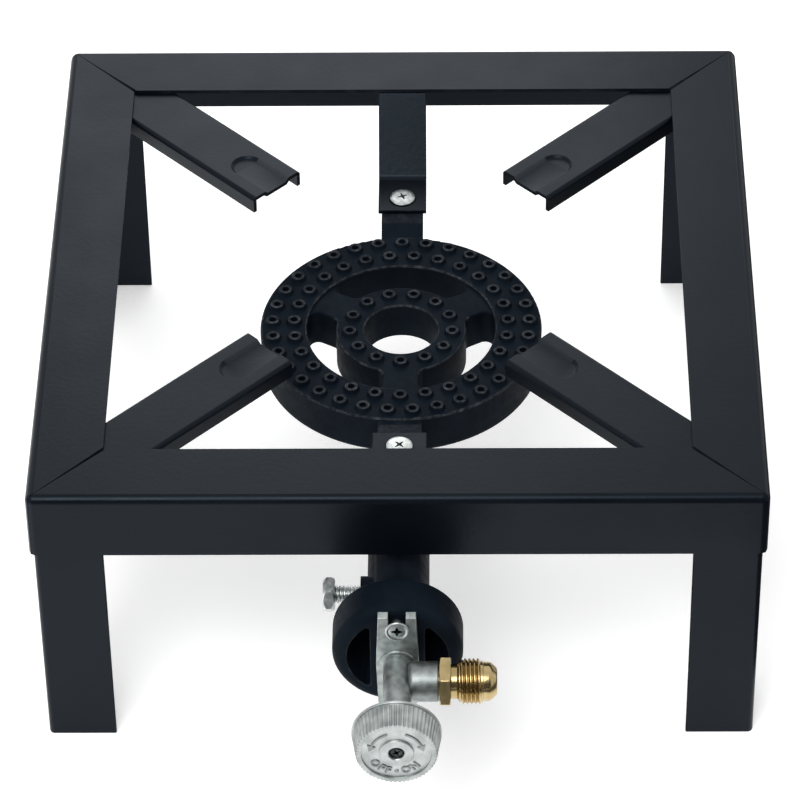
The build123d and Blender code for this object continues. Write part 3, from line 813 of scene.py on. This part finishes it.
# %% Throttle bolt
bolt_y = -130.2
bolt_seat, bolt_tip = 21.9, 7.9
bolt_length = bolt_seat - bolt_tip
into_head = 1.2
bolt = bmesh.new()
head_place = placing(-bolt_seat, bolt_y, mixer_height, facing_left)
join(bolt, hexagon(flats=11.1, height=4.1, turn=-8.4, chamfer=48), head_place)
bolt_core = [(0, 0.2), (2.45, 0.2), (2.45, 0.5 - bolt_length), (2.0, -bolt_length), (0, -bolt_length)]
join(bolt, turned(bolt_core, steps=40), head_place)
bolt_thread = thread(root=2.4, crest=3.15, pitch=1.27, length=bolt_length + into_head)
join(bolt, bolt_thread, placing(-bolt_tip, bolt_y, mixer_height, facing_left))
settle(bolt, "throttle_bolt_threaded", bolt_steel, "throttle", ["throttle_bolt"])

# %% [markdown]
# ## Brass fittings
# The inlet adaptor takes the hose's flare nut: a hexagon, a thread and a rounded nose on one bore. The
# gland nut keeps the spindle in the barrel. Both are turned from hexagon bar, so each is a hexagon with
# a hole and a spun core in one mesh.

# %% Inlet adaptor
inlet_y = -172.7
inlet_place = placing(0, inlet_y, mixer_height, facing_right)
inlet_bore = 3.2
adaptor_nut_foot, flare_foot = 14.2, 20.4
adaptor = bmesh.new()
adaptor_nut = hexagon(flats=16.2, height=4.0, turn=15, chamfer=20, hole=inlet_bore)
join(adaptor, adaptor_nut, inlet_place @ Matrix.Translation((0, 0, adaptor_nut_foot)))
adaptor_core = turned([
    (inlet_bore, 6.55), (4.9, 6.55), (4.9, 18.0), (6.0, 18.0), (6.0, 20.2), (7.0, 20.9), (7.0, 28.9),
    (6.7, 29.1), (6.7, 30.9), (6.6, 31.4), (6.3, 31.9), (5.7, 32.6), (5.0, 33.3), (4.5, 33.7),
    (4.1, 33.8), (3.5, 33.8), (inlet_bore, 33.4), (inlet_bore, 6.55),
], steps=72)
join(adaptor, adaptor_core, inlet_place)
flare_thread = thread(root=6.98, crest=7.94, pitch=1.41, length=8.7, steps=60)
join(adaptor, flare_thread, inlet_place @ Matrix.Translation((0, 0, flare_foot)))
settle(adaptor, "inlet_adaptor_threaded", brass, "stand", ["inlet_adaptor"])

# %% Gland nut
gland_bore = 2.45
gland_foot, barrel_end = 25.0, 27.0
gland = bmesh.new()
gland_hexagon = hexagon(flats=10.0, height=3.5, turn=0, chamfer=30, hole=gland_bore)
join(gland, gland_hexagon, valve_place @ Matrix.Translation((0, 0, barrel_end)))
gland_spigot = turned([
    (gland_bore, gland_foot), (3.5, gland_foot), (3.5, 27.05), (gland_bore, 27.05),
    (gland_bore, gland_foot),
], steps=48)
join(gland, gland_spigot, valve_place)
settle(gland, "gland_nut_chamfered", brass, "stand", ["gland_nut"])

# %% [markdown]
# ## Valve body
# The valve body is one zinc die casting: a plate forked round the fork screw, a barrel forwards out of
# a collar, and an inlet boss to the right. They are made one by one with the rounds and fillets that a
# mould needs, and share one mesh. The fork's slot is part of the plate's outline.

# %% Forked plate
plate_depth = 3.2
slot_half, slot_foot = 3.0, 12.8
plate_foot, foot_round, slot_round, mould_round = -19.8, 1.5, 2.99, 0.7
plate = bmesh.new()
half_outline = [(6.7, plate_foot), (7.3, 0.0), (6.45, 21.5), (slot_half, 21.5), (slot_half, slot_foot)]
plate_points = half_outline + [(-x, y) for x, y in reversed(half_outline)]
rim_points = [plate.verts.new((x, y, -plate_depth)) for x, y in plate_points]
plate.faces.new(rim_points)
foot_corners = [point for point in plate.verts if abs(point.co.y - plate_foot) < 0.1]
bmesh.ops.bevel(
    plate, geom=foot_corners, offset=foot_round, affect="VERTICES", segments=4, profile=0.5, material=-1
)
slot_corners = [point for point in plate.verts if abs(point.co.y - slot_foot) < 0.1]
bmesh.ops.bevel(
    plate, geom=slot_corners, offset=slot_round, affect="VERTICES", segments=8, profile=0.5, material=-1
)
front = bmesh.ops.extrude_face_region(plate, geom=plate.faces[:])
front_points = [item for item in front["geom"] if isinstance(item, bmesh.types.BMVert)]
bmesh.ops.translate(plate, vec=(0, 0, plate_depth), verts=front_points)
bmesh.ops.recalc_face_normals(plate, faces=plate.faces)
soften(plate, mould_round, 3)
print("forked plate", len(plate.faces), "faces")

# %% Barrel and boss
barrel = turned([
    (3.6, barrel_end), (3.6, 5.0), (0, 5.0), (0, -0.5), (6.3, -0.5), (6.3, 0.3), (6.2, 0.55),
    (5.95, 0.69), (4.9, 0.7), (4.85, 0.75), (4.85, 26.6), (4.5, barrel_end), (3.6, barrel_end),
])
boss = turned([
    (4.95, 6.5), (4.95, 14.0), (6.5, 14.0), (6.9, 13.6), (6.9, 5.4), (6.6, 4.6), (5.6, 3.8), (0, 3.0),
    (0, 6.5), (4.95, 6.5),
])
boss_dirt = 0.3
handled = boss.faces.layers.float.new("grime_and_shade")
for face in boss.faces:
    face[handled] = boss_dirt
valve = bmesh.new()
join(valve, plate, valve_place)
join(valve, barrel, valve_place)
join(valve, boss, inlet_place)
settle(valve, "valve_body_cast", zinc_casting, "stand", ["valve_body"], smooth=40)

# %% [markdown]
# ## Knob
# The knob is a tapering zinc cup with fine flutes, a smooth rim and a groove at the back and a dished
# face. It is one spun outline. The flutes are then pressed in: on the wall's rings, two points in every
# four are moved towards the axis, and the pressed faces are painted darker as painted shade.

# %% Knob
flute_count = 56
flute_depth = 0.4
flute_shade = 0.2
flute_low, flute_high = 34.0, 42.25
wall_low, wall_high = 14.95, 13.72
face_edge = 13.55
near = 0.01
knob_outline = [
    (2.45, 33.5), (5.6, 33.5), (5.9, 33.8), (5.9, 38.9), (10.8, 38.9), (10.8, 32.7), (11.1, 32.4),
    (14.95, 32.4), (15.2, 32.6), (15.2, 33.3), (15.05, 33.45), (14.6, 33.55), (14.6, 33.8),
    (wall_low, flute_low), (wall_high, flute_high), (face_edge, 42.5), (12.1, 42.5), (11.85, 42.42),
    (11.75, 42.2), (11.72, 41.75), (11.5, 41.7), (6.1, 41.7), (5.9, 41.8), (5.86, 42.3), (5.65, 42.5),
    (3.0, 42.5), (2.7, 42.2), (2.7, 40.4), (1.5, 40.4), (1.5, 39.45), (2.45, 39.45), (2.45, 33.5),
]
knob = turned(knob_outline, steps=4 * flute_count)
grime_and_shade = knob.faces.layers.float.new("grime_and_shade")
pressed = set()
wall_slope = (wall_low - wall_high) / (flute_high - flute_low)
for point in knob.verts:
    reach = point.co.xy.length
    wall = wall_low - wall_slope * (point.co.z - flute_low)
    step = round(4 * flute_count * point.co.xy.angle_signed(Vector((1, 0))) / (2 * pi))
    on_wall = abs(reach - wall) < near and flute_low - near < point.co.z < flute_high + near
    if (on_wall or abs(reach - face_edge) < near) and step % 4 < 2:
        point.co.xy *= (reach - flute_depth) / reach
        pressed.add(point)
# Faces in the pressed flutes are painted darker, as painted shade in the grooves.
for face in knob.faces:
    face[grime_and_shade] = flute_shade * sum(point in pressed for point in face.verts) / len(face.verts)
print("knob faces", len(knob.faces))

# %% [markdown]
# ## Marks on the knob
# The face carries plain raised marks: OFF and ON along its lower half with a dot between them, and two
# turning arrows above. Letters are text turned into a mesh, and an arrow is a small section spun along
# an arc with a point at its end. They are coloured darker than the face.

# %% A raised letter
face_floor = 41.65
mark_rise = 0.4
mark_radius = 8.85
letter_size, letter_weight = 4.1, 0.13


def raised_letter(letter, bearing):
    """One raised letter on the knob's face, its foot towards the rim."""
    text = bpy.data.curves.new("letter", "FONT")
    text.body = letter
    text.size = letter_size
    text.offset = letter_weight
    text.align_x = "CENTER"
    text.align_y = "CENTER"
    text.extrude = mark_rise / 2
    carrier = bpy.data.objects.new("letter", text)
    mesh = bpy.data.meshes.new_from_object(carrier)
    shape = bmesh.new()
    shape.from_mesh(mesh)
    bpy.data.objects.remove(carrier)
    bpy.data.meshes.remove(mesh)
    bpy.data.curves.remove(text)
    lift = Matrix.Translation((0, -mark_radius, face_floor + mark_rise / 2))
    around = Matrix.Rotation(radians(bearing + 90), 4, "Z")
    bmesh.ops.transform(shape, verts=shape.verts, matrix=around @ lift)
    return shape


# %% A turning arrow
tip_length, tip_half = 2.6, 1.5


def turning_arrow(start, end):
    """A raised arc with a point at its end."""
    shape = bmesh.new()
    section_points = ((-0.45, 0), (0.45, 0), (0.35, mark_rise), (-0.35, mark_rise))
    section = [shape.verts.new((mark_radius + out, 0, face_floor + up)) for out, up in section_points]
    face = shape.faces.new(section)
    to_start = Matrix.Rotation(radians(start), 3, "Z")
    bmesh.ops.rotate(shape, verts=section, cent=(0, 0, 0), matrix=to_start)
    bmesh.ops.spin(
        shape, geom=[face], cent=(0, 0, 0), axis=(0, 0, 1), angle=radians(end - start), steps=16,
    )
    tip = bmesh.new()
    ahead = tip_length if end > start else -tip_length
    tip_points = ((-tip_half, 0), (tip_half, 0), (0, ahead))
    foot = [tip.verts.new((mark_radius + out, forward, face_floor)) for out, forward in tip_points]
    tip.faces.new(foot)
    top = bmesh.ops.extrude_face_region(tip, geom=tip.faces[:])
    top_points = [item for item in top["geom"] if isinstance(item, bmesh.types.BMVert)]
    bmesh.ops.translate(tip, vec=(0, 0, mark_rise), verts=top_points)
    join(shape, tip, Matrix.Rotation(radians(end), 4, "Z"))
    bmesh.ops.recalc_face_normals(shape, faces=shape.faces)
    return shape


# %% Put the marks on the knob
mark_darkening = 0.45
marks = bmesh.new()
for letter, bearing in (("O", 216), ("F", 235), ("F", 251), ("O", 291), ("N", 313)):
    join(marks, raised_letter(letter, bearing))
dot = turned([(0, mark_rise), (0.6, mark_rise), (0.8, 0)], steps=16)
join(marks, dot, Matrix.Translation((0, -mark_radius, face_floor)))
join(marks, turning_arrow(110, 160))
join(marks, turning_arrow(70, 20))
grime_and_shade = marks.faces.layers.float.new("grime_and_shade")
for face in marks.faces:
    face[grime_and_shade] = mark_darkening
join(knob, marks)
knob_piece = bmesh.new()
join(knob_piece, knob, valve_place)
settle(knob_piece, "knob_fluted", knob_zinc, "valve_handle", ["knob"])

# %% [markdown]
# ## Knob's screw
# A small screw holds the knob on the spindle. Its near black colour is painted shade, for the dark hole
# round it. It is of the same kind as the strap screws, but thinner and with a higher dome, so the same
# helpers make it. It sits down in the knob's middle.

# %% Knob's screw
knob_screw_seat = 40.4
knob_screw_head = screw_head(pan_shares, radius=2.6, height=1.5)
knob_screw = bmesh.new()
join(
    knob_screw,
    cross_head_screw(knob_screw_head, shank=1.45, length=7.35, recess=(1.5, 0.8, 1.0), turn=30),
    valve_place @ Matrix.Translation((0, 0, knob_screw_seat)),
)
settle(knob_screw, "knob_screw_cross", painted_shade_steel, "valve_handle", ["knob_screw"])

# %% [markdown]
# ## Inner parts
# The spindle, the seal and the jet are inside and their solids have the right shape, so they stay and
# only get their finishes.

# %% Dress the inner parts
for node, finish in (("valve_spindle", brass), ("gas_jet", brass), ("spindle_seal", rubber)):
    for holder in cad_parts[node].material_slots:
        holder.material = finish
    print(node, "keeps its solid in", finish.name)

# %% [markdown]
# ## Floor and cards
# A pale floor stands for a white studio. It is a light table, so it glows a little. Dark cards lie on
# it in front and on the right, out of the camera's sight: bare metal mirrors them as dark bands,
# which no light alone would give.

# %% Floor
floor_half = 6
floor_shape = bmesh.new()
bmesh.ops.create_grid(floor_shape, x_segments=8, y_segments=8, size=floor_half)
floor_mesh = bpy.data.meshes.new("floor")
floor_shape.to_mesh(floor_mesh)
floor_shape.free()
floor_finish, tree, shader, where = new_finish("pale_floor")
floor_cloud = shade(tree, noise(tree, where, scale=3, detail=2), (0.94, 0.94, 0.94), (0.96, 0.96, 0.96))
tree.links.new(floor_cloud, shader.inputs["Base Color"])
shader.inputs["Roughness"].default_value = 0.9
shader.inputs["Specular IOR Level"].default_value = 0.1
shader.inputs["Emission Color"].default_value = (1, 1, 1, 1)
shader.inputs["Emission Strength"].default_value = 0.36
floor_mesh.materials.append(floor_finish)
floor = bpy.data.objects.new("floor", floor_mesh)
bpy.context.scene.collection.objects.link(floor)
print("floor", 2 * floor_half, "m square")

# %% Dark cards
card_half, card_rise = 0.6, 0.002
card_finish, tree, shader, where = new_finish("dark_card")
card_cloud = shade(tree, noise(tree, where, scale=6, detail=2), (0.02, 0.02, 0.02), (0.03, 0.03, 0.03))
tree.links.new(card_cloud, shader.inputs["Base Color"])


def dark_card(name, near_side, turn):
    """A square card on the floor, its near side's middle at a point, seen only in reflections."""
    shape = bmesh.new()
    bmesh.ops.create_grid(shape, x_segments=4, y_segments=4, size=card_half)
    bmesh.ops.translate(shape, vec=(0, -card_half, 0), verts=shape.verts)
    place = Matrix.Translation((*near_side, card_rise)) @ Matrix.Rotation(radians(turn), 4, "Z")
    bmesh.ops.transform(shape, matrix=place, verts=shape.verts)
    mesh = bpy.data.meshes.new(name)
    shape.to_mesh(mesh)
    shape.free()
    mesh.materials.append(card_finish)
    card = bpy.data.objects.new(name, mesh)
    card.visible_camera = False
    card.visible_diffuse = False
    card.visible_shadow = False
    bpy.context.scene.collection.objects.link(card)
    print(name, "lies at", near_side)


dark_card("front_card", near_side=(0, -0.37), turn=35)
dark_card("right_card", near_side=(0.15, 0.25), turn=90)

# %% [markdown]
# ## Sky and lights
# An even white sky lights the studio, and the room behind the camera is dark. A near light behind
# makes the top faces shine more at the rear. Two lights high in front, to the left, draw bright lines
# on the metal and along the edges. Standard colours are used, because a filmic curve would grey the
# white floor.

# %% Sky
room_direction = (0.22, -0.965, 0.14)
sky_glow, room_glow = 0.90, 0.10
room_start, room_full = 0.58, 0.76
sky = bpy.data.worlds.new("sky")
sky.use_nodes = True
sky_tree = sky.node_tree
direction = sky_tree.nodes.new("ShaderNodeTexCoord").outputs["Generated"]
towards_room = sky_tree.nodes.new("ShaderNodeVectorMath")
towards_room.operation = "DOT_PRODUCT"
towards_room.inputs[1].default_value = room_direction
sky_tree.links.new(direction, towards_room.inputs[0])
facing_room = towards_room.outputs["Value"]
sky_strength = spread(sky_tree, facing_room, sky_glow, room_glow, room_start, room_full)
sky_tree.nodes["Background"].inputs["Color"].default_value = (1, 1, 1, 1)
sky_tree.links.new(sky_strength, sky_tree.nodes["Background"].inputs["Strength"])
bpy.context.scene.world = sky
print("sky glows at", sky_glow, "and the room at", room_glow)


# %% Lights
def soft_light(name, place, aim, size, power):
    """A square area light that looks at a point."""
    data = bpy.data.lights.new(name, "AREA")
    data.energy = power
    data.size = size
    light = bpy.data.objects.new(name, data)
    light.location = place
    light.rotation_euler = (Vector(aim) - Vector(place)).to_track_quat("-Z", "Y").to_euler()
    bpy.context.scene.collection.objects.link(light)


soft_light("rear_light", place=(-0.05, 0.56, 0.45), aim=(0, 0.10, 0.11), size=0.34, power=0.72)
soft_light("top_light", place=(-0.30, -0.95, 1.50), aim=(0, -0.10, 0.05), size=0.8, power=9)
soft_light("front_light", place=(-0.40, -1.25, 1.55), aim=(0, -0.05, 0.06), size=0.7, power=8)
bpy.context.scene.view_settings.view_transform = "Standard"
print("lit by a sky and three soft lights")
